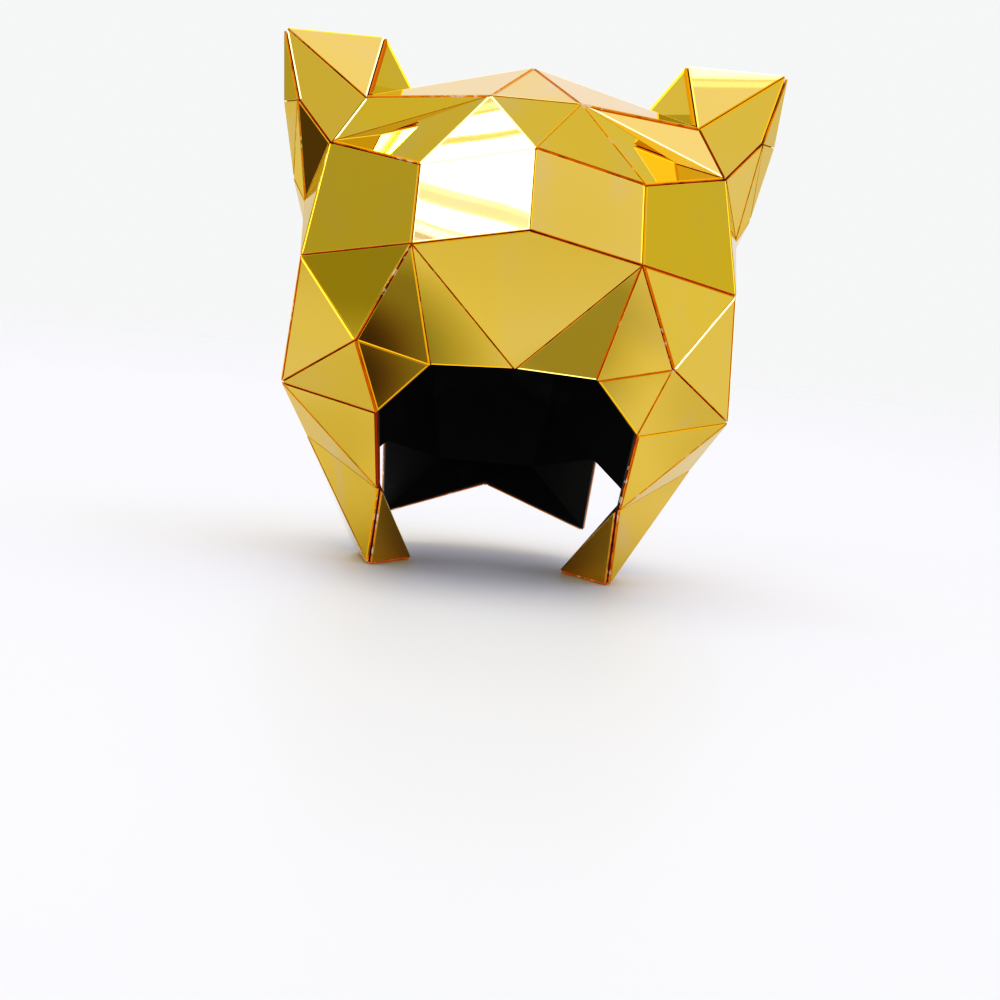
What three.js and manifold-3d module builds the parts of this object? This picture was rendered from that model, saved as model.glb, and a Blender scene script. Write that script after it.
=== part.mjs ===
// A full-head panther mask: flat gold mirror-acrylic panels, one to each facet, glued onto a black faceted backing.
// Millimetres, +Z up. The face looks along -Y, the wearer's left is +X, and the mask stands on its two jaw points.
import * as THREE from "three";
import { ConvexGeometry } from "three/addons/geometries/ConvexGeometry.js";
import { mergeVertices } from "three/addons/utils/BufferGeometryUtils.js";
import Module from "manifold-3d";

// Driving dimensions
const panelThickness = 1.5; // mirror acrylic sheet, laser cut square to its face
const glueGap = 0.3; // between a panel and the backing
const backingThickness = 2;
const seamWidth = 0.4; // between neighbouring panels, at the foot of their edges
const rimMargin = 0.8; // the backing shows this much beyond a panel at an open rim
const webThickness = 0.4; // glue bed that holds one group of front panels together
const webOverlap = 0.05; // neighbouring stretches of a glue bed run this far into each other
const longestTip = 0.4; // how far a sharp corner of a glue bed may run past the corner of its facet
const cornerRelief = 0.8; // cut off a glue bed's corner along both edges where other nodes meet it
const shortestEdge = 0.01; // shorter edges, where slabs only just meet, are closed up

// Corners on the middle plane. back: towards the nape, up: above the jaw points.
const middleCorners = {
  crown_peak: { back: -12, up: 278 },
  crown_heel: { back: 90, up: 236 },
  occiput: { back: 109, up: 194 },
  nape: { back: 90, up: 119 },
  forehead: { back: -58, up: 258 },
  brow_mid: { back: -93, up: 211 },
  nose_tip: { back: -154, up: 121 },
  lip_mid: { back: -143, up: 101 },
  chin_mid: { back: -108, up: 36 },
};

// Corners in pairs, left and right of the middle plane. A row with no back gets it from flatCorners.
const pairedCorners = {
  crown: { across: 24.5, back: 44, up: 261 },
  skull_top: { across: 60, up: 222 },
  skull_low: { across: 61, up: 181 },
  side_mid: { across: 118, back: 42, up: 166.5 },
  neck_top: { across: 85, back: 78, up: 126 },
  nape_end: { across: 44.5, back: 84, up: 116.5 },
  cheek_wide: { across: 122.5, back: 27, up: 96 },
  rim_high: { across: 70, back: 68, up: 87.5 },
  rim_low: { across: 65, back: 55, up: 45 },
  jaw_out: { across: 106, back: 8, up: 66.5 },
  foot_rear: { across: 66.5, back: 20, up: 0 },
  foot_inner: { across: 43, back: -22, up: 0 },
  foot_outer: { across: 72, back: -30, up: 0 },
  ear_inner: { across: 91.5, back: 20, up: 254 },
  ear_rear: { across: 108, up: 228 },
  ear_outer: { across: 127.5, up: 250 },
  ear_tip_inner: { across: 84.5, back: 0, up: 288 },
  ear_tip_outer: { across: 138.5, back: 6, up: 288 },
  ear_front_inner: { across: 64.5, back: -24, up: 257 },
  ear_front_outer: { across: 135, back: 4, up: 248.5 },
  ear_well: { across: 106, back: 2, up: 262 },
  temple: { across: 126, back: 2, up: 207.5 },
  temple_low: { across: 118.5, back: 8, up: 195 },
  brow_peak: { across: 48, back: -78, up: 231 },
  brow_end: { across: 101, back: -42, up: 213 },
  eye_inner: { across: 25, back: -98, up: 170 },
  eye_upper: { across: 47, up: 191 },
  eye_outer: { across: 89, back: -59, up: 199 },
  eye_lower: { across: 62, back: -84, up: 170 },
  cheekbone: { across: 109, back: -36, up: 154 },
  nose_top: { across: 16, back: -143, up: 146 },
  muzzle_root: { across: 38, back: -109, up: 144 },
  whisker: { across: 37, back: -140, up: 114 },
  muzzle_rear: { across: 68, back: -92, up: 114 },
  lip: { across: 36, back: -134, up: 82 },
  chin: { across: 28, back: -124, up: 46 },
  chin_rim: { across: 59, back: -96, up: 15 },
  notch_top: { across: 62, back: -90, up: 57 },
  notch_outer: { across: 84, back: -52, up: 37 },
  jaw_side: { across: 105, back: -36, up: 88 },
};

// Facets with four corners are flat: the corner takes its depth from the plane through three others.
const flatCorners = [
  { corner: "skull_low", plane: ["occiput", "nape", "nape_level"] },
  { corner: "skull_top", plane: ["crown_heel", "occiput", "skull_low"] },
  { corner: "ear_rear", plane: ["skull_top", "skull_low", "side_mid"] },
  { corner: "ear_outer", plane: ["ear_tip_outer", "ear_inner", "ear_rear"] },
  { corner: "eye_upper", plane: ["brow_peak", "brow_end", "eye_outer"] },
];

// Single panels. A star marks the right-hand twin of a paired corner.
const middlePanels = [
  { name: "crown_top", corners: "crown_peak crown crown*" },
  { name: "crown_rear", corners: "crown crown_heel crown*" },
  { name: "nape_diamond", corners: "occiput skull_low nape skull_low*" },
  { name: "nose_panel", corners: "nose_top nose_top* nose_tip" },
];
const pairedPanels = [
  { name: "crown_flank", corners: "crown_peak crown ear_inner" },
  { name: "ear_valley", corners: "crown ear_inner ear_rear" },
  { name: "crown_slope", corners: "crown ear_rear skull_top" },
  { name: "crown_shoulder", corners: "crown skull_top crown_heel" },
  { name: "skull_plate", corners: "crown_heel skull_top skull_low occiput" },
  { name: "side_plate", corners: "skull_top ear_rear side_mid skull_low" },
  { name: "side_rear", corners: "skull_low side_mid neck_top" },
  { name: "cheek_upper", corners: "side_mid cheek_wide neck_top" },
  { name: "cheek_lower", corners: "neck_top cheek_wide rim_high" },
  { name: "nape_outer", corners: "skull_low neck_top nape_end" },
  { name: "nape_inner", corners: "skull_low nape_end nape" },
  { name: "nape_corner", corners: "neck_top nape_end rim_high" },
  { name: "jaw_rear", corners: "cheek_wide rim_high rim_low" },
  { name: "jaw_flank", corners: "cheek_wide rim_low jaw_out" },
  { name: "tuft_rear", corners: "rim_low jaw_out foot_rear" },
  { name: "tuft_inner", corners: "rim_low foot_rear foot_inner" },
  { name: "ear_back_upper", corners: "ear_tip_inner ear_tip_outer ear_inner" },
  { name: "ear_back_lower", corners: "ear_tip_outer ear_inner ear_rear ear_outer" },
  { name: "ear_side", corners: "ear_tip_inner ear_inner ear_front_inner" },
  { name: "ear_root", corners: "ear_outer ear_rear temple_low" },
  { name: "temple_rear", corners: "ear_rear temple_low side_mid" },
];

// Groups of small front panels, each group held together by its glue bed.
const middleGroups = [
  {
    name: "forehead_panels",
    paired: [
      "crown_peak ear_inner ear_front_inner",
      "crown_peak ear_front_inner forehead",
      "forehead ear_front_inner brow_peak",
      "forehead brow_peak brow_mid",
    ],
    middle: [],
  },
  {
    name: "muzzle_panels",
    paired: [
      "brow_mid eye_inner nose_top",
      "eye_inner muzzle_root nose_top",
      "nose_top whisker nose_tip",
      "nose_top muzzle_root whisker",
      "muzzle_root muzzle_rear whisker",
      "nose_tip whisker lip_mid",
      "whisker lip lip_mid",
      "whisker muzzle_rear lip",
      "muzzle_rear notch_top lip",
    ],
    middle: ["brow_mid nose_top nose_top*"],
  },
  {
    name: "chin_panels",
    paired: [
      "lip_mid lip chin",
      "lip notch_top chin",
      "notch_top chin_rim chin",
      "chin chin_rim chin_mid",
    ],
    middle: ["lip_mid chin chin*", "chin chin* chin_mid"],
  },
];
const pairedGroups = [
  {
    name: "brow_panels",
    facets: [
      "ear_front_inner brow_end brow_peak",
      "ear_front_inner ear_front_outer brow_end",
      "brow_mid brow_peak eye_upper",
      "brow_mid eye_upper eye_inner",
      "brow_peak brow_end eye_outer eye_upper",
    ],
  },
  {
    name: "temple_panels",
    facets: [
      "ear_front_outer temple brow_end",
      "brow_end temple eye_outer",
      "temple cheekbone eye_outer",
      "ear_tip_outer ear_outer ear_front_outer",
      "ear_outer ear_front_outer temple",
      "ear_outer temple temple_low",
      "temple_low temple cheekbone",
      "temple_low cheekbone side_mid",
      "side_mid cheekbone cheek_wide",
    ],
  },
  {
    name: "cheek_panels",
    facets: [
      "eye_outer cheekbone eye_lower",
      "eye_inner eye_lower muzzle_root",
      "eye_lower muzzle_rear muzzle_root",
      "eye_lower cheekbone muzzle_rear",
      "cheekbone jaw_side muzzle_rear",
      "cheekbone cheek_wide jaw_side",
    ],
  },
  {
    name: "jaw_panels",
    facets: [
      "jaw_side cheek_wide jaw_out",
      "muzzle_rear jaw_side notch_top",
      "jaw_side notch_outer notch_top",
      "jaw_side jaw_out notch_outer",
      "jaw_out foot_rear foot_outer",
      "jaw_out foot_outer notch_outer",
      "notch_outer foot_outer foot_inner",
      "foot_rear foot_outer foot_inner",
    ],
  },
  {
    name: "ear_front_panels",
    facets: [
      "ear_tip_inner ear_well ear_front_inner",
      "ear_tip_inner ear_tip_outer ear_well",
      "ear_tip_outer ear_front_outer ear_well",
      "ear_front_inner ear_well ear_front_outer",
    ],
  },
];

const goldMirror = new THREE.MeshStandardMaterial({ color: 0xd8b13a, metalness: 1, roughness: 0.06 });
const blackBacking = new THREE.MeshStandardMaterial({ color: 0x101010, metalness: 0, roughness: 0.55 });

const wasm = await Module();
wasm.setup();

// Corners as points: a paired corner has its own name on the left and a starred name on the right.
function placeCorners() {
  const points = new Map();
  const setPair = (name, across, back, up) => {
    points.set(name, new THREE.Vector3(across, back, up));
    points.set(name + "*", new THREE.Vector3(-across, back, up));
  };
  for (const [name, row] of Object.entries(middleCorners)) points.set(name, new THREE.Vector3(0, row.back, row.up));
  for (const [name, row] of Object.entries(pairedCorners)) setPair(name, row.across, row.back ?? 0, row.up);
  // A point level with the nape, off the middle plane, so that the nape's facet runs straight across.
  points.set("nape_level", points.get("nape").clone().add(new THREE.Vector3(1, 0, 0)));
  for (const { corner, plane } of flatCorners) {
    const { across, up } = pairedCorners[corner];
    const flat = new THREE.Plane().setFromCoplanarPoints(...plane.map((name) => points.get(name)));
    const back = -(flat.normal.x * across + flat.normal.z * up + flat.constant) / flat.normal.y;
    setPair(corner, across, back, up);
  }
  return points;
}

// Facets

const points = placeCorners();
const facets = [];

function twin(name) {
  if (name in middleCorners) return name;
  return name.endsWith("*") ? name.slice(0, -1) : name + "*";
}

// One facet of a node: the node's name and the facet's corners, in order round it.
function addFacet(node, corners) {
  facets.push({ node, corners: corners.split(" ") });
}

function addTwins(node, rightNode, corners) {
  addFacet(node, corners);
  addFacet(rightNode, corners.split(" ").map(twin).join(" "));
}

function listFacets() {
  for (const { name, corners } of middlePanels) addFacet(name, corners);
  for (const { name, corners } of pairedPanels) addTwins(name + "_left", name + "_right", corners);
  for (const { name, paired, middle } of middleGroups) {
    for (const corners of middle) addFacet(name, corners);
    for (const corners of paired) addTwins(name, name, corners);
  }
  for (const { name, facets: rows } of pairedGroups)
    for (const corners of rows) addTwins(name + "_left", name + "_right", corners);
}

const edgeKey = (a, b) => (a < b ? `${a} ${b}` : `${b} ${a}`);

function edgesOf(facet) {
  return facet.corners.map((start, i) => ({ start, end: facet.corners[(i + 1) % facet.corners.length] }));
}

// The facets on both sides of each edge: an edge with only one is part of an open rim.
function findNeighbours() {
  const sides = new Map();
  for (const facet of facets)
    for (const { start, end } of edgesOf(facet)) {
      const key = edgeKey(start, end);
      sides.set(key, [...(sides.get(key) ?? []), facet]);
    }
  return sides;
}

// Turns every facet to look outwards, walking from the nape's facet, which looks back, across shared edges.
function turnOutwards(sides) {
  const first = facets.find((facet) => facet.node === "nape_diamond");
  if (normalOf(first).y < 0) first.corners.reverse();
  const reached = new Set([first]);
  const waiting = [first];
  while (waiting.length) {
    const facet = waiting.pop();
    for (const { start, end } of edgesOf(facet))
      for (const next of sides.get(edgeKey(start, end))) {
        if (reached.has(next)) continue;
        if (edgesOf(next).some((edge) => edge.start === start && edge.end === end)) next.corners.reverse();
        reached.add(next);
        waiting.push(next);
      }
  }
}

function normalOf(facet) {
  const [a, b, c] = facet.corners.map((name) => points.get(name));
  return new THREE.Vector3().crossVectors(b.clone().sub(a), c.clone().sub(a)).normalize();
}

function middleOf(facet) {
  const sum = new THREE.Vector3();
  for (const name of facet.corners) sum.add(points.get(name));
  return sum.divideScalar(facet.corners.length);
}

// How far a fold leans: the tangent of half its angle, positive in a valley and negative on a ridge.
function foldSlope(facet, neighbour, start) {
  const half = facet.normal.angleTo(neighbour.normal) / 2;
  const valley = middleOf(neighbour).sub(points.get(start)).dot(facet.normal) > 0;
  return valley ? Math.tan(half) : -Math.tan(half);
}

listFacets();
const sides = findNeighbours();
turnOutwards(sides);
for (const facet of facets) facet.normal = normalOf(facet);

// A facet's outline with each edge moved in by its own distance, raised above the facet.
function outline(facet, insets, height) {
  const inward = edgesOf(facet).map(({ start, end }) =>
    new THREE.Vector3().crossVectors(facet.normal, points.get(end).clone().sub(points.get(start))).normalize(),
  );
  return facet.corners.map((name, i) => {
    const before = (i + insets.length - 1) % insets.length;
    const shared = inward[before].dot(inward[i]);
    const spread = 1 - shared * shared;
    const alongBefore = (insets[before] - insets[i] * shared) / spread;
    const alongThis = (insets[i] - insets[before] * shared) / spread;
    const shift = inward[before].clone().multiplyScalar(alongBefore).addScaledVector(inward[i], alongThis);
    if (alongBefore + alongThis < 0) shift.clampLength(0, longestTip);
    return points.get(name).clone().add(shift).addScaledVector(facet.normal, height);
  });
}

// Insets of a panel with square edges: clear of its neighbours, also of one that leans in over a valley.
function panelInsets(facet) {
  return edgesOf(facet).map(({ start, end }) => {
    const neighbour = sides.get(edgeKey(start, end)).find((other) => other !== facet);
    if (!neighbour) return rimMargin;
    return seamWidth / 2 + Math.max(0, foldSlope(facet, neighbour, start)) * (glueGap + panelThickness);
  });
}

// A facet's neighbour in its own group, across each of its edges in turn.
function groupNeighbours(facet) {
  return edgesOf(facet).map(({ start, end }) =>
    sides.get(edgeKey(start, end)).find((other) => other !== facet && other.node === facet.node),
  );
}

// A glue bed's outline at one height: mitred into the beds of its own group, square towards other nodes.
// Where both edges of a corner are mitred, and another node shares it, the corner is cut off.
function webOutline(facet, height) {
  const neighbours = groupNeighbours(facet);
  const insets = panelInsets(facet).map((square, i) =>
    neighbours[i] ? foldSlope(facet, neighbours[i], facet.corners[i]) * height - webOverlap : square,
  );
  const whole = outline(facet, insets, height);
  const isShared = (name) => facets.some((other) => other.node !== facet.node && other.corners.includes(name));
  return whole.flatMap((point, i) => {
    if (!neighbours.at(i - 1) || !neighbours[i] || !isShared(facet.corners[i])) return [point];
    const towards = [whole.at(i - 1), whole[(i + 1) % whole.length]];
    return towards.map((other) => other.clone().sub(point).setLength(cornerRelief).add(point));
  });
}

// Panels

// A single panel is cut from sheet as a flat shape and laid on its facet.
function singlePanel(facet) {
  const [first, second] = outline(facet, panelInsets(facet), glueGap);
  const along = second.clone().sub(first).normalize();
  const upright = new THREE.Vector3().crossVectors(facet.normal, along);
  const flat = outline(facet, panelInsets(facet), glueGap).map((point) => {
    const offset = point.clone().sub(first);
    return new THREE.Vector2(offset.dot(along), offset.dot(upright));
  });
  const sheet = new THREE.ExtrudeGeometry(new THREE.Shape(flat), { depth: panelThickness, bevelEnabled: false });
  const mesh = new THREE.Mesh(sheet, goldMirror);
  mesh.quaternion.setFromRotationMatrix(new THREE.Matrix4().makeBasis(along, upright, facet.normal));
  mesh.position.copy(first);
  return mesh;
}

function solidFrom(geometry) {
  geometry.deleteAttribute("normal");
  geometry.deleteAttribute("uv");
  const merged = mergeVertices(geometry, 1e-4);
  return new wasm.Manifold(
    new wasm.Mesh({
      numProp: 3,
      vertProperties: new Float32Array(merged.attributes.position.array),
      triVerts: new Uint32Array(merged.index.array),
    }),
  );
}

function geometryFrom(solid) {
  const { vertProperties, triVerts } = solid.getMesh();
  const geometry = new THREE.BufferGeometry();
  geometry.setAttribute("position", new THREE.BufferAttribute(vertProperties, 3));
  geometry.setIndex(new THREE.BufferAttribute(triVerts, 1));
  return geometry;
}

// A flat slab between two outlines of one facet.
function slab(low, high) {
  return solidFrom(new ConvexGeometry([...low, ...high]));
}

// A group is its panels, joined underneath by the glue bed that they lie in.
function panelGroup(groupFacets) {
  const solids = groupFacets.flatMap((facet) => {
    const insets = panelInsets(facet);
    const top = glueGap + panelThickness;
    const webTop = glueGap + webThickness;
    return [
      slab(outline(facet, insets, glueGap), outline(facet, insets, top)),
      slab(webOutline(facet, glueGap), webOutline(facet, webTop)),
    ];
  });
  const joined = solids.reduce((whole, piece) => whole.add(piece)).simplify(shortestEdge);
  return new THREE.Mesh(geometryFrom(joined), goldMirror);
}

// Backing

// A corner of the backing's inside: as far as can be the wall's thickness behind every facet that meets there.
function insideCorner(name) {
  const meeting = facets.filter((facet) => facet.corners.includes(name));
  const softness = 0.05; // keeps corners where the facets are nearly level from sliding sideways
  const sum = new THREE.Vector3();
  const m = [softness, 0, 0, 0, softness, 0, 0, 0, softness];
  for (const { normal } of meeting) {
    const n = normal.toArray();
    m.forEach((value, i) => (m[i] = value + n[Math.floor(i / 3)] * n[i % 3]));
    sum.addScaledVector(normal, -backingThickness);
  }
  return points.get(name).clone().add(sum.applyMatrix3(new THREE.Matrix3().set(...m).invert()));
}

// The backing is a wall under all the facets, closed along its open rims: the neck and the eyes.
function backing() {
  const triangles = [];
  const inside = new Map();
  for (const facet of facets) for (const name of facet.corners) inside.set(name, insideCorner(name));
  const addFan = (corners) => {
    for (let i = 2; i < corners.length; i++) triangles.push(corners[0], corners[i - 1], corners[i]);
  };
  for (const facet of facets) {
    const outer = facet.corners.map((name) => points.get(name));
    const inner = facet.corners.map((name) => inside.get(name));
    addFan(outer);
    addFan(inner.reverse());
    for (const { start, end } of edgesOf(facet))
      if (sides.get(edgeKey(start, end)).length === 1)
        addFan([points.get(end), points.get(start), inside.get(start), inside.get(end)]);
  }
  return new THREE.Mesh(new THREE.BufferGeometry().setFromPoints(triangles), blackBacking);
}

// Assembly

const mask = new THREE.Group();

function addNode(name, mesh) {
  mesh.name = name;
  mask.add(mesh);
}

const byNode = Map.groupBy(facets, (facet) => facet.node);
for (const [name, own] of byNode) addNode(name, own.length > 1 ? panelGroup(own) : singlePanel(own[0]));
addNode("backing", backing());

// The origin is the middle of the mask's box, on the surface that it stands on.
mask.updateMatrixWorld(true);
const box = new THREE.Box3().setFromObject(mask, true);
const middle = box.getCenter(new THREE.Vector3());
mask.position.set(-middle.x, -middle.y, -box.min.z);

const pantherMask = new THREE.Group();
pantherMask.add(mask);

export default pantherMask;
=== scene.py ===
# Panther mask of gold mirror acrylic panels on a black backing: finishes, studio and camera.
import math

import bmesh
import bpy
from mathutils import Matrix, Vector
from mathutils import noise as fieldNoise
from mathutils.bvhtree import BVHTree


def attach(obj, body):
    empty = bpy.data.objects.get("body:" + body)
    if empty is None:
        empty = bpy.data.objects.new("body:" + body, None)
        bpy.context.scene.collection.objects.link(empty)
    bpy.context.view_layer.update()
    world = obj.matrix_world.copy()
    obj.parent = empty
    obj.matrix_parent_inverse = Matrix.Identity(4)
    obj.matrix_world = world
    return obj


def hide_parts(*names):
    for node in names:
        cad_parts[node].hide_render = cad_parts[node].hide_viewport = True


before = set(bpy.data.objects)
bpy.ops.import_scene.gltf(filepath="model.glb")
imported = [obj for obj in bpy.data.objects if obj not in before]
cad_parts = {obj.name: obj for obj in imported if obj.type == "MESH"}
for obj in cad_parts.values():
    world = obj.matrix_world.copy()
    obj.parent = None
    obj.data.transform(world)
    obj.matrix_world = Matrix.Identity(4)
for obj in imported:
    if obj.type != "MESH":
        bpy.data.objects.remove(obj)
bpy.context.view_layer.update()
print("frame loaded:", len(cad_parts), "nodes")

# A Mix node's colours have no names of their own, so its sockets go by number.
colourMix = {"factor": 0, "first": 6, "second": 7, "result": 2}


# A socket that takes part in sums, and the one way to add any other node.
class Flow:
    def __init__(self, tree, socket=None):
        self.tree = tree
        self.socket = socket

    def node(self, kind, settings=None, inputs=None, output=0):
        made = self.tree.nodes.new(kind)
        for name, value in (settings or {}).items():
            setattr(made, name, value)
        for name, value in (inputs or {}).items():
            if isinstance(value, Flow):
                self.tree.links.new(value.socket, made.inputs[name])
            else:
                made.inputs[name].default_value = value
        return Flow(self.tree, made.outputs[output]) if made.outputs else None

    def calc(self, operation, first, second):
        return self.node("ShaderNodeMath", {"operation": operation}, {0: first, 1: second})

    def __add__(self, other):
        return self.calc("ADD", self, other)

    def __radd__(self, other):
        return self.calc("ADD", other, self)

    def __sub__(self, other):
        return self.calc("SUBTRACT", self, other)

    def __rsub__(self, other):
        return self.calc("SUBTRACT", other, self)

    def __mul__(self, other):
        return self.calc("MULTIPLY", self, other)

    def __rmul__(self, other):
        return self.calc("MULTIPLY", other, self)

    def rise(self, low, high):  # 0 below low, 1 above high, smooth between
        settings = {"interpolation_type": "SMOOTHSTEP"}
        inputs = {"Value": self, "From Min": low, "From Max": high}
        return self.node("ShaderNodeMapRange", settings, inputs)

    def between(self, first, second):  # colours mixed by this value
        inputs = {colourMix["factor"]: self, colourMix["first"]: first, colourMix["second"]: second}
        return self.node("ShaderNodeMix", {"data_type": "RGBA"}, inputs, colourMix["result"])


def startMaterial(name):
    material = bpy.data.materials.new(name)
    material.use_nodes = True
    material.node_tree.nodes.clear()
    return material, Flow(material.node_tree)


def finishMaterial(flow, inputs):
    surface = flow.node("ShaderNodeBsdfPrincipled", None, inputs)
    flow.node("ShaderNodeOutputMaterial", None, {"Surface": surface})


def objectPlace(flow):
    return flow.node("ShaderNodeTexCoord", output="Object")


def noise(flow, place, scale, detail=2.0):
    return flow.node("ShaderNodeTexNoise", None, {"Vector": place, "Scale": scale, "Detail": detail})


def patches(flow, place, scale, span, detail=2.0):  # noise that is 0 below the span and 1 above it
    return noise(flow, place, scale, detail).rise(*span)


def bump(flow, height, distance, strength=1.0):
    inputs = {"Height": height, "Distance": distance, "Strength": strength}
    return flow.node("ShaderNodeBump", None, inputs)


def rgba(red, green, blue):
    return (red, green, blue, 1.0)


def addObject(name, data):
    made = bpy.data.objects.new(name, data)
    bpy.context.scene.collection.objects.link(made)
    return made


# Mirror front: gold seen through a clear sheet, with the gentle waves of thin acrylic,
# the dull marks and wiped streaks of handling, and a little dust.
mirrorFront = {
    "gold": rgba(0.81, 0.565, 0.110),
    "deepGold": rgba(0.79, 0.55, 0.102),
    "tintScale": 5.0,
    "lowAngle": rgba(0.85, 0.75, 0.45),  # the gold deepens where it is seen along the sheet
    "waveScale": 9.0,
    "waveHeight": 0.00028,
    "handledScale": 14.0,
    "handledSpan": (0.52, 0.80),
    "wipeTurn": (0.4, 0.7, 0.3),
    "wipeScale": (30, 900, 30),  # long one way and fine across
    "streakSpan": (0.62, 0.80),
    "dustScale": 260.0,
    "dustSize": (0.03, 0.10),
    "dustyScale": 60.0,
    "dustySpan": (0.60, 0.68),
    "roughness": 0.014,
    "handledRoughness": 0.006,
    "streakRoughness": 0.03,
    "dustRoughness": 0.22,
    "clearIor": 1.22,
    "clearRoughness": 0.012,
}


def makeMirrorFront():
    material, flow = startMaterial("gold_mirror_front")
    place = objectPlace(flow)
    wave = noise(flow, place, mirrorFront["waveScale"], detail=1.0)
    handled = patches(flow, place, mirrorFront["handledScale"], mirrorFront["handledSpan"], detail=3.0)
    wiping = {"Vector": place, "Rotation": mirrorFront["wipeTurn"], "Scale": mirrorFront["wipeScale"]}
    wiped = flow.node("ShaderNodeMapping", None, wiping)
    streaks = patches(flow, wiped, 1.0, mirrorFront["streakSpan"])
    cells = {"Vector": place, "Scale": mirrorFront["dustScale"]}
    fromGrain = flow.node("ShaderNodeTexVoronoi", {"feature": "F1"}, cells, "Distance")
    dust = 1.0 - fromGrain.rise(*mirrorFront["dustSize"])
    dusty = patches(flow, place, mirrorFront["dustyScale"], mirrorFront["dustySpan"])
    roughness = mirrorFront["roughness"] + handled * mirrorFront["handledRoughness"]
    roughness = roughness + handled * streaks * mirrorFront["streakRoughness"]
    roughness = roughness + dust * dusty * mirrorFront["dustRoughness"]
    tint = noise(flow, place, mirrorFront["tintScale"])
    finishMaterial(flow, {
        "Base Color": tint.between(mirrorFront["gold"], mirrorFront["deepGold"]),
        "Metallic": 1.0,
        "Specular Tint": mirrorFront["lowAngle"],
        "Roughness": roughness,
        "Normal": bump(flow, wave, mirrorFront["waveHeight"]),
        "Coat Weight": 1.0,
        "Coat Roughness": mirrorFront["clearRoughness"],
        "Coat IOR": mirrorFront["clearIor"],
    })
    return material


# Dried glue: small pale flecks that sit in some of the seams.
gluedFlecks = {
    "colour": rgba(0.80, 0.70, 0.62),
    "scale": 210.0,
    "patchScale": 17.0,
    "span": (0.54, 0.60),
}


def fleckMask(flow, place):
    fleck = patches(flow, place, gluedFlecks["scale"], gluedFlecks["span"])
    patch = patches(flow, place, gluedFlecks["patchScale"], gluedFlecks["span"], detail=1.0)
    return fleck * patch


# Cut edge: amber acrylic with the fine ribs that a laser leaves across the sheet,
# browned here and there, and a painted glow in place of light piped through the sheet.
cutEdge = {
    "amber": rgba(0.68, 0.21, 0.010),
    "scorched": rgba(0.24, 0.075, 0.006),
    "scorchScale": 90.0,
    "scorchSpan": (0.46, 0.66),
    "ribScale": 2600.0,
    "ribHeight": 0.00004,
    "ribStrength": 0.6,
    "roughness": 0.14,
    "scorchRoughness": 0.25,
    "ior": 1.49,
    "coat": 0.6,
    "coatRoughness": 0.08,
    "paintedGlow": rgba(0.40, 0.10, 0.002),
    "paintedGlowStrength": 0.50,
}


def makeCutEdge():
    material, flow = startMaterial("amber_cut_edge")
    place = objectPlace(flow)
    scorch = patches(flow, place, cutEdge["scorchScale"], cutEdge["scorchSpan"], detail=3.0)
    ribs = noise(flow, place, cutEdge["ribScale"], detail=1.0)
    sheet = scorch.between(cutEdge["amber"], cutEdge["scorched"])
    finishMaterial(flow, {
        "Base Color": fleckMask(flow, place).between(sheet, gluedFlecks["colour"]),
        "Roughness": cutEdge["roughness"] + scorch * cutEdge["scorchRoughness"],
        "Normal": bump(flow, ribs, cutEdge["ribHeight"], cutEdge["ribStrength"]),
        "IOR": cutEdge["ior"],
        "Coat Weight": cutEdge["coat"],
        "Coat Roughness": cutEdge["coatRoughness"],
        # painted glow in place of light piped through the amber sheet, browner where scorched
        "Emission Color": scorch.between(cutEdge["paintedGlow"], cutEdge["scorched"]),
        "Emission Strength": cutEdge["paintedGlowStrength"],
    })
    return material
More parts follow.
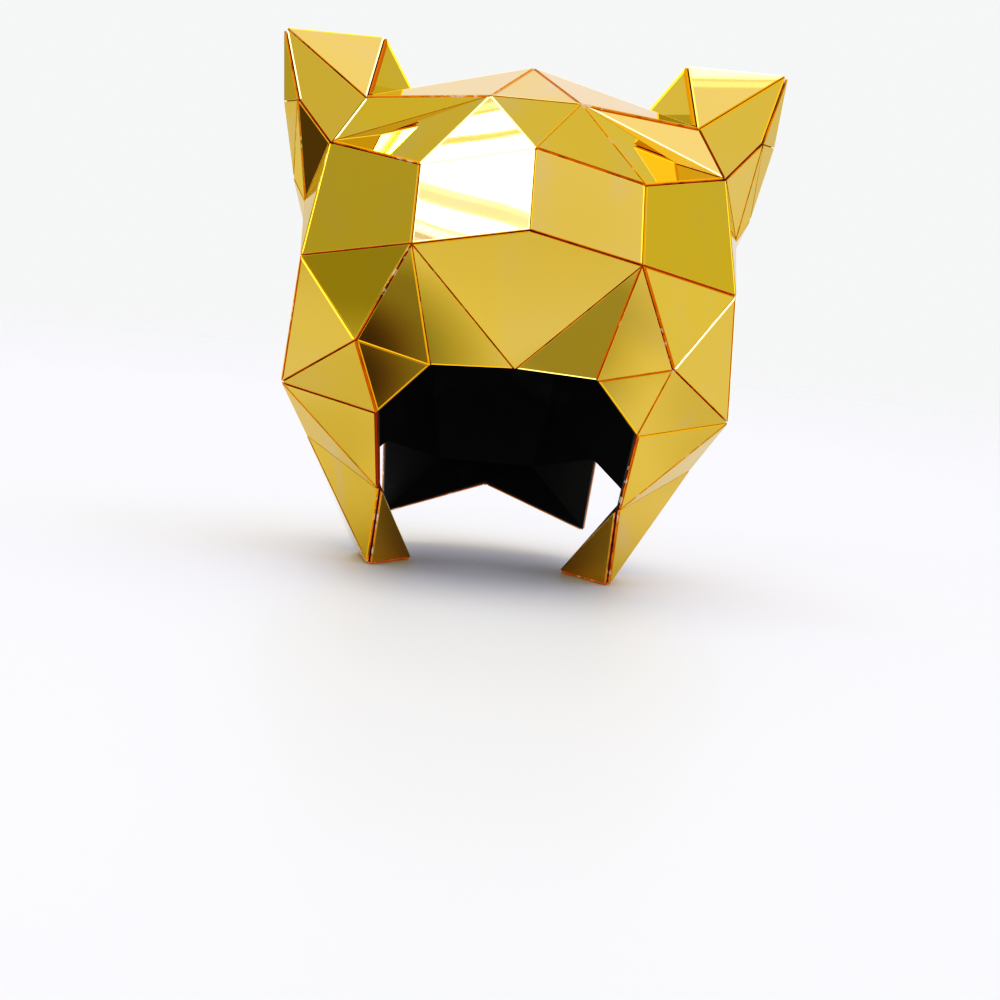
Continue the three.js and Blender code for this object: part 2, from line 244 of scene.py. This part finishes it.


# Lit border: painted highlight lines along some sheet edges, glowing by emission, in place of light
# that would show through a sheet's clear front. A panel and what lies across the seam give the
# brightness of each.
litBorder = {
    "width": 0.0008,
    "ownWidths": {
        "ear_side_left": 0.0020,
        "ear_side_right": 0.0020,
        "ear_valley_left": 0.0012,
        "side_plate_left": 0.0012,
        "skull_plate_left": 0.0005,
        "crown_shoulder_left": 0.0005,
        "crown_top": 0.0016,
        "cheek_upper_left": 0.0012,
        "cheek_upper_right": 0.0012,
    },
    "tones": [  # brightness and colour, from a brown line to a cream one
        (0.0, rgba(0.10, 0.026, 0.002)),
        (0.2, rgba(0.32, 0.062, 0.003)),
        (0.4, rgba(0.50, 0.23, 0.009)),
        (0.75, rgba(1.0, 0.73, 0.07)),
        (1.0, rgba(1.0, 0.90, 0.50)),
    ],
    "paintedGlowStrength": 0.85,
    "roughness": 0.10,
    "ior": 1.10,  # the painted line stands for light that leaves the sheet, so it mirrors little of the room
    "seamReach": 0.004,  # how far the panel across a seam may be
    "leastSlope": 0.20,  # on the face, edges that lead away less than this show no line
    "fullSlope": 1.10,
    "faceLight": 0.85,
    "faceWander": 0.8,  # how much the lines of the face differ from each other
    "wanderScale": 45,
    # Painted highlight brightness of each line, by panel and what lies across the seam.
    "lines": {  # on the back of the head
        ("ear_back_upper_left", "ear_side_left"): 1.0,
        ("ear_back_upper_left", "ear_front_panels_left"): 0.6,
        ("ear_side_left", "ear_back_upper_left"): 0.24,
        ("ear_side_left", "ear_front_panels_left"): 0.75,
        ("ear_back_lower_left", "temple_panels_left"): 0.95,
        ("ear_valley_left", "ear_back_lower_left"): 1.0,
        ("ear_back_upper_right", "ear_side_right"): 0.80,
        ("ear_back_upper_right", "ear_front_panels_right"): 1.0,
        ("ear_side_right", "ear_back_upper_right"): 0.34,
        ("ear_side_right", "ear_front_panels_right"): 0.75,
        ("ear_back_lower_right", "ear_back_upper_right"): 0.44,
        ("ear_back_lower_right", "temple_panels_right"): 0.50,
        ("ear_back_lower_right", "ear_valley_right"): 0.05,
        ("ear_valley_right", "crown_slope_right"): 0.95,
        ("ear_valley_right", "crown_flank_right"): 0.17,
        ("crown_top", "crown_flank_left"): 0.30,
        ("crown_top", "crown_flank_right"): 0.20,
        ("crown_rear", "crown_top"): 0.05,
        ("crown_slope_left", "side_plate_left"): 0.40,
        ("crown_slope_right", "crown_shoulder_right"): 0.38,
        ("crown_slope_right", "side_plate_right"): 0.40,
        ("crown_shoulder_left", "skull_plate_left"): 1.0,
        ("crown_shoulder_left", "crown_slope_left"): 1.0,
        ("crown_shoulder_left", "crown_rear"): 1.0,
        ("crown_shoulder_right", "skull_plate_right"): 0.12,
        ("skull_plate_left", "side_plate_left"): 1.0,
        ("skull_plate_left", "nape_diamond"): 1.0,
        ("skull_plate_left", "skull_plate_right"): 1.0,
        ("skull_plate_left", "crown_shoulder_left"): 1.0,
        ("skull_plate_right", "side_plate_right"): 0.62,
        ("side_plate_left", "temple_rear_left"): 0.75,
        ("side_plate_right", "temple_rear_right"): 0.65,
        ("side_rear_right", "side_plate_right"): 0.24,
        ("side_rear_right", "nape_outer_right"): 0.24,
        ("nape_outer_left", "nape_inner_left"): 0.45,
        ("nape_outer_left", "nape_corner_left"): 0.52,
        ("nape_inner_left", "open"): 0.50,
        ("nape_inner_right", "open"): 0.85,
        ("nape_inner_right", "nape_outer_right"): 0.25,
        ("nape_corner_left", "open"): 0.40,
        ("nape_corner_left", "cheek_lower_left"): 0.42,
        ("nape_corner_right", "open"): 0.50,
        ("nape_corner_right", "nape_outer_right"): 0.25,
        ("cheek_upper_left", "side_rear_left"): 0.66,
        ("cheek_upper_left", "temple_panels_left"): 0.13,
        ("cheek_upper_right", "side_rear_right"): 0.95,
        ("cheek_upper_right", "temple_panels_right"): 0.20,
        ("cheek_lower_left", "nape_corner_left"): 0.22,
        ("jaw_rear_left", "cheek_lower_left"): 0.03,
        ("jaw_rear_left", "open"): 0.06,
        ("jaw_rear_right", "cheek_lower_right"): 0.46,
        ("jaw_rear_right", "open"): 0.18,
        ("tuft_rear_left", "tuft_inner_left"): 0.40,
        ("tuft_rear_left", "jaw_panels_left"): 0.10,
        ("tuft_rear_right", "tuft_inner_right"): 0.26,
    },
    # Painted highlights on the cut edges of these seams too.
    "litCuts": {  # seams so strongly lit that the cut edges in them shine too
        ("ear_back_upper_left", "ear_side_left"): 0.40,
        ("ear_side_left", "ear_back_upper_left"): 0.28,
        ("ear_back_upper_right", "ear_side_right"): 0.45,
        ("ear_side_right", "ear_back_upper_right"): 0.40,
        ("ear_back_upper_right", "ear_back_lower_right"): 0.46,
        ("ear_back_lower_right", "ear_back_upper_right"): 0.46,
        ("crown_shoulder_left", "crown_slope_left"): 1.0,
        ("crown_slope_left", "crown_shoulder_left"): 1.0,
        ("crown_shoulder_left", "crown_rear"): 1.0,
        ("crown_rear", "crown_shoulder_left"): 1.0,
        ("crown_shoulder_right", "crown_rear"): 0.45,
        ("crown_rear", "crown_shoulder_right"): 0.45,
        ("skull_plate_left", "crown_shoulder_left"): 1.0,
        ("crown_shoulder_left", "skull_plate_left"): 1.0,
        ("skull_plate_left", "skull_plate_right"): 0.68,
        ("skull_plate_right", "skull_plate_left"): 0.68,
        ("skull_plate_left", "side_plate_left"): 0.35,
        ("side_plate_left", "skull_plate_left"): 0.33,
        ("skull_plate_right", "side_plate_right"): 0.45,
        ("side_plate_right", "skull_plate_right"): 0.42,
        ("skull_plate_left", "nape_diamond"): 0.45,
        ("nape_diamond", "skull_plate_left"): 0.42,
        ("side_plate_right", "side_rear_right"): 0.26,
        ("side_rear_right", "side_plate_right"): 0.26,
        ("jaw_rear_left", "open"): 0.10,
    },
}


def makeLitBorder():
    material, flow = startMaterial("lit_sheet_border")
    light = flow.node("ShaderNodeAttribute", {"attribute_name": "edge_light"}, None, "Fac")
    low, colour = litBorder["tones"][0]
    for high, tone in litBorder["tones"][1:]:
        colour = light.rise(low, high).between(colour, tone)
        low = high
    finishMaterial(flow, {
        "Base Color": colour,
        "Roughness": litBorder["roughness"],
        "IOR": litBorder["ior"],
        # painted highlight: the line glows by its own emission
        "Emission Color": colour,
        "Emission Strength": litBorder["paintedGlowStrength"],
    })
    return material


# Back paint: the grey coat that protects the mirror from behind.
backCoat = {
    "grey": rgba(0.10, 0.095, 0.09),
    "paleGrey": rgba(0.16, 0.15, 0.14),
    "mottleScale": 90.0,
    "roughness": 0.5,
    "mottleRoughness": 0.2,
}


def makeBackPaint():
    material, flow = startMaterial("grey_back_paint")
    mottle = noise(flow, objectPlace(flow), backCoat["mottleScale"], detail=3.0)
    finishMaterial(flow, {
        "Base Color": mottle.between(backCoat["grey"], backCoat["paleGrey"]),
        "Roughness": backCoat["roughness"] + mottle * backCoat["mottleRoughness"],
    })
    return material


# Backing plastic: black satin with a fine moulded grain and a little grey where it is rubbed.
backingLook = {
    "black": rgba(0.070, 0.070, 0.074),
    "rubbed": rgba(0.145, 0.145, 0.150),
    "rubScale": 35.0,
    "rubSpan": (0.50, 0.80),
    "grainScale": 1500.0,
    "grainHeight": 0.00005,
    "grainStrength": 0.7,
    "roughness": 0.34,
    "rubRoughness": 0.16,
    "grainRoughness": 0.08,
}


def makeBackingPlastic():
    material, flow = startMaterial("black_satin_plastic")
    place = objectPlace(flow)
    rub = patches(flow, place, backingLook["rubScale"], backingLook["rubSpan"], detail=4.0)
    grain = noise(flow, place, backingLook["grainScale"])
    roughness = backingLook["roughness"] + rub * backingLook["rubRoughness"]
    finishMaterial(flow, {
        "Base Color": rub.between(backingLook["black"], backingLook["rubbed"]),
        "Roughness": roughness + grain * backingLook["grainRoughness"],
        "Normal": bump(flow, grain, backingLook["grainHeight"], backingLook["grainStrength"]),
    })
    return material


# Glue bed: the backing under the panels, browned by glue and by painted amber light in the seams,
# with a painted glow of that light.
glueBedAndPaintedGlow = {
    "brown": rgba(0.24, 0.075, 0.012),
    "dark": rgba(0.030, 0.012, 0.006),
    "thinScale": 45.0,
    "thinSpan": (0.45, 0.68),
    "roughness": 0.25,
    "thinRoughness": 0.2,
    "paintedGlow": rgba(0.20, 0.05, 0.002),
    "paintedGlowStrength": 0.40,
}


def makeGlueBedAndPaintedGlow():
    material, flow = startMaterial("glue_bed_and_painted_glow")
    place = objectPlace(flow)
    thin = patches(flow, place, glueBedAndPaintedGlow["thinScale"], glueBedAndPaintedGlow["thinSpan"], detail=3.0)
    spread = thin.between(glueBedAndPaintedGlow["brown"], glueBedAndPaintedGlow["dark"])
    finishMaterial(flow, {
        "Base Color": fleckMask(flow, place).between(spread, gluedFlecks["colour"]),
        "Roughness": glueBedAndPaintedGlow["roughness"] + thin * glueBedAndPaintedGlow["thinRoughness"],
        # painted glow of amber light in the seams
        "Emission Color": thin.between(glueBedAndPaintedGlow["paintedGlow"], glueBedAndPaintedGlow["dark"]),
        "Emission Strength": glueBedAndPaintedGlow["paintedGlowStrength"],
    })
    return material


panelFinishes = {
    "front": makeMirrorFront(),
    "cut": makeCutEdge(),
    "back": makeBackPaint(),
    "border": makeLitBorder(),
}
backingFinishes = {"bare": makeBackingPlastic(), "glued": makeGlueBedAndPaintedGlow()}
print("materials ready")

# Solids: loose triangles in the frame, merged and joined up before a piece is made of them.
solidCopy = {"mergeDistance": 2e-6, "flatAngle": math.radians(0.5)}


def joinFlat(bm):
    bmesh.ops.dissolve_limit(bm, angle_limit=solidCopy["flatAngle"], verts=bm.verts, edges=bm.edges)


def mergedCopy(node):
    bm = bmesh.new()
    bm.from_mesh(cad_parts[node].data)
    bmesh.ops.remove_doubles(bm, verts=bm.verts, dist=solidCopy["mergeDistance"])
    joinFlat(bm)
    return bm


def roundSharp(bm, sharpAngle, offset, segments):
    sharp = [edge for edge in bm.edges if edge.calc_face_angle(0.0) > sharpAngle]
    bmesh.ops.bevel(
        bm, geom=sharp, offset=offset, offset_type="OFFSET", affect="EDGES",
        segments=segments, profile=0.5, material=-1,
    )
    bm.normal_update()


def finishPiece(bm, name, node, finishes):
    mesh = bpy.data.meshes.new(name)
    for material in finishes.values():
        mesh.materials.append(material)
    bm.to_mesh(mesh)
    bm.free()
    piece = addObject(name, mesh)
    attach(piece, "root")
    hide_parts(node)


# Panels: each front face of the solids becomes a sheet of its own with a mirror front and amber edges.
panel = {
    "thickness": 0.0015,
    "frontHeight": 0.0015,  # fronts lie further than this from the backing, glue beds and edges nearer
    "frontFacing": 0.9,  # and look the same way as the backing under them
    "cutFacing": 0.3,  # cut edges look away from their sheet's front and back
    "edgeRound": 0.00022,
    "roundSegments": 2,
    "sharpAngle": math.radians(30),
}
backingShape = mergedCopy("backing")
backingTree = BVHTree.FromBMesh(backingShape)
panelNodes = [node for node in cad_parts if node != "backing"]
faceNodes = [node for node in panelNodes if "panels" in node or node == "nose_panel"]


# All panels in one tree, with the node that each triangle belongs to.
def treeOfPanels():
    bm = bmesh.new()
    owners = []
    for node in panelNodes:
        bm.from_mesh(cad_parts[node].data)
        owners += [node] * (len(bm.faces) - len(owners))
    bm.faces.index_update()
    tree = BVHTree.FromBMesh(bm)
    bm.free()
    return tree, owners


panelTree, panelOwners = treeOfPanels()


def isFront(face):
    middle = face.calc_center_median_weighted()
    _, normal, _, distance = backingTree.find_nearest(middle)
    return distance > panel["frontHeight"] and normal.dot(face.normal) > panel["frontFacing"]


def acrossSeam(node, place):
    near = panelTree.find_nearest_range(place, litBorder["seamReach"])
    owned = [(distance, panelOwners[index]) for _, _, index, distance in near]
    others = [(distance, owner) for distance, owner in owned if owner != node]
    return min(others)[1] if others else "open"


# How bright the painted highlight line along an edge is. On the face, the line is painted on the
# rear edges of panels that look forward, where they would catch light.
def edgeLight(node, face):
    rim = next(edge for edge in face.edges if edge.is_boundary)
    start, end = (vert.co for vert in rim.verts)
    outward = (end - start).cross(face.normal).normalized()
    middle = (start + end) / 2
    if outward.dot(middle - face.calc_center_median()) < 0:
        outward.negate()
    if node not in faceNodes:
        neighbour = acrossSeam(node, middle + outward * litBorder["seamReach"] / 2)
        return litBorder["lines"].get((node, neighbour), 0.0)
    slope = outward.y if face.normal.y < 0 else 0.0
    share = (slope - litBorder["leastSlope"]) / (litBorder["fullSlope"] - litBorder["leastSlope"])
    wander = litBorder["faceWander"] * fieldNoise.noise(middle * litBorder["wanderScale"])
    return max(0.0, min(1.0, share * (litBorder["faceLight"] + wander)))


# How bright the painted highlight on a cut edge is, by the panel across the seam.
def cutLight(node, face):
    beyond = face.calc_center_median() + face.normal * litBorder["seamReach"] / 2
    return litBorder["litCuts"].get((node, acrossSeam(node, beyond)), 0.0)


def addBorders(node, bm):
    light = bm.faces.layers.float.new("edge_light")
    width = litBorder["ownWidths"].get(node, litBorder["width"])
    bmesh.ops.inset_individual(bm, faces=bm.faces[:], thickness=width, use_even_offset=True)
    for face in bm.faces:
        if any(edge.is_boundary for edge in face.edges):
            face[light] = edgeLight(node, face)


# The way that each face's own sheet looks: out of the largest front face of that sheet.
def sheetNormals(bm):
    bm.faces.ensure_lookup_table()
    normals = {}
    for first in bm.faces:
        if first.index in normals:
            continue
        sheet = {first}
        waiting = [first]
        while waiting:
            for edge in waiting.pop().edges:
                for face in edge.link_faces:
                    if face not in sheet:
                        sheet.add(face)
                        waiting.append(face)
        front = max(sheet, key=lambda face: face.calc_area() * isFront(face))
        for face in sheet:
            normals[face.index] = front.normal.copy()
    return normals


# Each face gets the finish of its side of the sheet, or the painted highlight border's if it has a
# painted line on its front or cut.
def dressPanels(node, bm):
    slots = {name: index for index, name in enumerate(panelFinishes)}
    light = bm.faces.layers.float["edge_light"]
    sheets = sheetNormals(bm)
    for face in bm.faces:
        facing = face.normal.dot(sheets[face.index])
        if facing < -panel["cutFacing"]:
            face.material_index = slots["back"]
            continue
        side = "front"
        if facing <= panel["cutFacing"]:
            side = "cut"
            face[light] = cutLight(node, face)
        face.material_index = slots["border" if face[light] > 0 else side]


def makePanels(node):
    bm = mergedCopy(node)
    bm.normal_update()
    others = [face for face in bm.faces if not isFront(face)]
    bmesh.ops.delete(bm, geom=others, context="FACES")
    joinFlat(bm)
    addBorders(node, bm)
    bmesh.ops.solidify(bm, geom=bm.faces[:], thickness=panel["thickness"])
    bmesh.ops.recalc_face_normals(bm, faces=bm.faces)
    roundSharp(bm, panel["sharpAngle"], panel["edgeRound"], panel["roundSegments"])
    bm.faces.index_update()
    dressPanels(node, bm)
    finishPiece(bm, node + "_mirror", node, panelFinishes)


for node in panelNodes:
    makePanels(node)
print("panels made for", len(panelNodes), "nodes")

# Backing: the solid's own shape with softened edges round its open rims, brown where panels
# are glued to it.
backing = {
    "rimAngle": math.radians(50),
    "rimRound": 0.0004,
    "rimSegments": 2,
    "glueReach": 0.001,
}


def makeBacking():
    bm = backingShape
    roundSharp(bm, backing["rimAngle"], backing["rimRound"], backing["rimSegments"])
    slots = {name: index for index, name in enumerate(backingFinishes)}
    for face in bm.faces:
        start = face.calc_center_median_weighted()
        hit = panelTree.ray_cast(start, face.normal, backing["glueReach"])[0]
        face.material_index = slots["glued" if hit else "bare"]
    finishPiece(bm, "backing_shell", "backing", backingFinishes)


makeBacking()
print("backing made")

# Camera: behind and a little above the mask, tilted as the photograph is.
cameraView = {
    "aim": Vector((-0.0037, 0.02237, 0.0402)),
    "yaw": math.radians(3.01),
    "rise": math.radians(6.0),
    "roll": math.radians(5.50),
    "distance": 2.2,
    "lens": 141.4,
    "sensor": 36.0,
    "clipEnd": 100.0,
}


def makeCamera():
    yaw, rise, roll = cameraView["yaw"], cameraView["rise"], cameraView["roll"]
    back = Vector((math.sin(yaw) * math.cos(rise), math.cos(yaw) * math.cos(rise), math.sin(rise)))
    right = Vector((0, 0, 1)).cross(back).normalized()
    up = back.cross(right)
    turnedRight = math.cos(roll) * right + math.sin(roll) * up
    turnedUp = math.cos(roll) * up - math.sin(roll) * right
    lens = bpy.data.cameras.new("camera")
    lens.lens = cameraView["lens"]
    lens.sensor_width = cameraView["sensor"]
    lens.clip_end = cameraView["clipEnd"]
    camera = addObject("camera", lens)
    place = cameraView["aim"] + back * cameraView["distance"]
    turn = Matrix((turnedRight, turnedUp, back)).transposed()
    camera.matrix_world = Matrix.Translation(place) @ turn.to_4x4()
    bpy.context.scene.camera = camera


makeCamera()

# Floor: a pale round that fades into the backdrop. Shade cards darken its mirror image alone.
floorLook = {
    "radius": 2.2,
    "segments": 96,
    "fadeStart": 0.8,
    "fadeEnd": 2.1,
    "colour": rgba(0.845, 0.845, 0.830),
    "mottleScale": 3.0,
    "roughness": 0.45,
    "mottleRoughness": 0.1,
    "shade": rgba(0.035, 0.030, 0.022),
    "cardCore": 0.4,  # the share of a card's radius that is fully dark
    "cards": [
        {"name": "left", "place": (0.138, 0.212, 0), "radius": 0.125, "depth": 0.74},
        {"name": "left_corner", "place": (0.165, 0.190, 0), "radius": 0.07, "depth": 0.22},
        {"name": "right", "place": (-0.090, 0.268, 0), "radius": 0.098, "depth": 0.60},
        {"name": "far_right", "place": (-0.200, 0.250, 0), "radius": 0.060, "depth": 0.18},
        {"name": "behind", "place": (-0.03, 0.62, 0), "radius": 0.32, "depth": 0.16},
        {"name": "left_side", "place": (0.216, 0.044, 0), "radius": 0.08, "depth": 0.16},
        {"name": "right_side", "place": (-0.267, -0.004, 0), "radius": 0.10, "depth": 0.20},
        {"name": "under_ear", "place": (0.66, 0.18, 0), "radius": 0.26, "depth": 0.95},
    ],
}


def makeFloorPaint():
    material, flow = startMaterial("pale_floor")
    place = objectPlace(flow)
    reach = flow.node("ShaderNodeVectorMath", {"operation": "LENGTH"}, {0: place}, "Value")
    mottle = noise(flow, place, floorLook["mottleScale"], detail=3.0)
    shade = 0.0
    for card in floorLook["cards"]:
        settings = {"operation": "DISTANCE", "label": card["name"]}
        away = flow.node("ShaderNodeVectorMath", settings, {0: place, 1: card["place"]}, "Value")
        core = card["radius"] * floorLook["cardCore"]
        shade = shade + card["depth"] * (1.0 - away.rise(core, card["radius"]))
    mirrored = flow.node("ShaderNodeLightPath", output="Is Glossy Ray")
    finishMaterial(flow, {
        "Base Color": (shade * mirrored).between(floorLook["colour"], floorLook["shade"]),
        "Roughness": floorLook["roughness"] + mottle * floorLook["mottleRoughness"],
        "Alpha": 1.0 - reach.rise(floorLook["fadeStart"], floorLook["fadeEnd"]),
    })
    return material


def makeFloor():
    bm = bmesh.new()
    bmesh.ops.create_circle(
        bm, cap_ends=True, segments=floorLook["segments"], radius=floorLook["radius"],
    )
    mesh = bpy.data.meshes.new("floor")
    mesh.materials.append(makeFloorPaint())
    bm.to_mesh(mesh)
    bm.free()
    floor = addObject("floor", mesh)


makeFloor()

# Room: soft light from all round. Azimuth 0 is the camera's side, positive to its left, in
# degrees as rise and width are. Strengths add up, and blue is the strength of the blue alone,
# so that a glow can be cool or warm.
room = {
    "backdrop": rgba(0.91, 0.915, 0.92),
    "level": 0.86,
    "blueLevel": 0.85,
    "glows": [  # name, azimuth, rise, width, strength, blue
        ("ceiling", 0, 90, 30, 1.5, 1.5),
        ("far_wall", 178, 25, 30, 0.28, 0.66),
        ("high_camera_side", -9, 61, 20, 0.26, 0.66),
        ("lamp_haze", 18, 46, 7, 0.10, 1.5),
        ("high_left", 50, 41, 16, -0.12, -0.28),
        ("left_lamp", 118, 7, 13, 0.38, 0.42),
        ("high_right", -58, 40, 28, 0.32, 0.90),
        ("low_right", -112, 16, 22, -0.14, -0.40),
        ("right_wall", -103, -4, 16, 0.04, -0.10),
        ("camera_gap", 20, 25, 26, -0.14, -0.14),
        ("left_wall", 102, 6, 52, -0.34, -0.44),
        ("left_door", 95, -6, 24, -0.16, -0.20),
        ("far_left_high", 150, 41, 24, -0.20, -0.40),
        ("far_high", -160, 58, 22, -0.04, -0.18),
        ("far_right_high", -150, 37, 16, 0.0, -0.26),
        ("far_window", -118, 46, 18, 0.60, 0.60),
    ],
}


def direction(azimuth, rise):
    flat = math.cos(math.radians(rise))
    turn = math.radians(azimuth)
    return Vector((math.sin(turn) * flat, math.cos(turn) * flat, math.sin(math.radians(rise))))


def makeRoom():
    world = bpy.data.worlds.new("room")
    bpy.context.scene.world = world
    world.use_nodes = True
    world.node_tree.nodes.clear()
    flow = Flow(world.node_tree)
    look = flow.node("ShaderNodeTexCoord", output="Generated")
    level = room["level"]
    blueLevel = room["blueLevel"]
    for name, azimuth, rise, width, strength, blue in room["glows"]:
        settings = {"operation": "DOT_PRODUCT", "label": name}
        inputs = {0: look, 1: direction(azimuth, rise)}
        nearness = flow.node("ShaderNodeVectorMath", settings, inputs, "Value")
        spread = nearness.rise(math.cos(math.radians(width)), 1.0)
        level = spread * strength + level
        blueLevel = spread * blue + blueLevel
    colours = {"Red": level, "Green": level, "Blue": blueLevel}
    colour = flow.node("ShaderNodeCombineColor", None, colours)
    inside = flow.node("ShaderNodeBackground", None, {"Color": colour})
    seen = flow.node("ShaderNodeBackground", None, {"Color": room["backdrop"]})
    isCamera = flow.node("ShaderNodeLightPath", output="Is Camera Ray")
    mixed = flow.node("ShaderNodeMixShader", None, {0: isCamera, 1: inside, 2: seen})
    flow.node("ShaderNodeOutputWorld", None, {"Surface": mixed})


makeRoom()

# Lamps: banks of long tubes, placed as the room's glows are. Each bank faces one panel, and
# its tubes are (offset across, width, brightness).
lampBanks = [
    {
        "name": "key", "panel": Vector((0.043, 0.122, 0.202)),
        "azimuth": 18.2, "rise": 45.9, "away": 1.7, "turn": -6, "length": 0.34,
        "tubes": [
            (0.0526, 0.0650, 14),
            (0.0168, 0.0066, 1.3),
            (0.0073, 0.0125, 0.55),
            (-0.0072, 0.0164, 14),
            (-0.0220, 0.0069, 5),
            (-0.0340, 0.0060, 0.5),
        ],
    },
    {
        "name": "top", "panel": Vector((0.028, 0.090, 0.246)),
        "azimuth": 151.4, "rise": 64.9, "away": 1.5, "turn": -31, "length": 0.34,
        "tubes": [
            (-0.0160, 0.0050, 1.0),
            (-0.0017, 0.0163, 12),
            (0.0370, 0.0470, 12),
        ],
    },
    {
        "name": "ear", "panel": Vector((0.096, 0.033, 0.274)),
        "azimuth": 122.8, "rise": 70.9, "away": 1.5, "turn": -57, "length": 0.14,
        "tubes": [
            (0.0110, 0.0100, 30),
            (-0.0055, 0.0095, 30),
        ],
    },
    {
        "name": "high", "panel": Vector((-0.098, 0.029, 0.280)),
        "azimuth": 8.0, "rise": 58.9, "away": 1.6, "turn": 7, "length": 0.14,
        "tubes": [
            (0.0045, 0.0050, 0.6),
            (0.0170, 0.0145, 4),
        ],
    },
]


def makeLamps():
    for bank in lampBanks:
        towards = direction(bank["azimuth"], bank["rise"])
        spin = Matrix.Rotation(math.radians(bank["turn"]), 3, "Z").to_quaternion()
        turn = towards.to_track_quat("Z", "Y") @ spin
        for index, (offset, width, brightness) in enumerate(bank["tubes"]):
            light = bpy.data.lights.new(f"{bank['name']}_tube_{index}", "AREA")
            light.shape = "RECTANGLE"
            light.size = bank["length"]
            light.size_y = width
            light.energy = brightness * math.pi * bank["length"] * width
            lamp = addObject(light.name, light)
            place = bank["panel"] + towards * bank["away"] + turn @ Vector((0, offset, 0))
            lamp.matrix_world = Matrix.Translation(place) @ turn.to_matrix().to_4x4()
            lamp.visible_camera = False


makeLamps()

# Film: plain tones with the darks held down a little. Points are (tone, tone shown).
toneCurve = [(0.05, 0.012), (0.08, 0.032), (0.115, 0.072), (0.18, 0.160), (0.40, 0.395), (0.75, 0.77)]


def setFilm():
    settings = bpy.context.scene.view_settings
    settings.view_transform = "Standard"
    settings.use_curve_mapping = True
    allColours = settings.curve_mapping.curves[3]  # after red, green and blue
    for tone, shown in toneCurve:
        allColours.points.new(tone, shown)
    settings.curve_mapping.update()


setFilm()
print("studio ready")
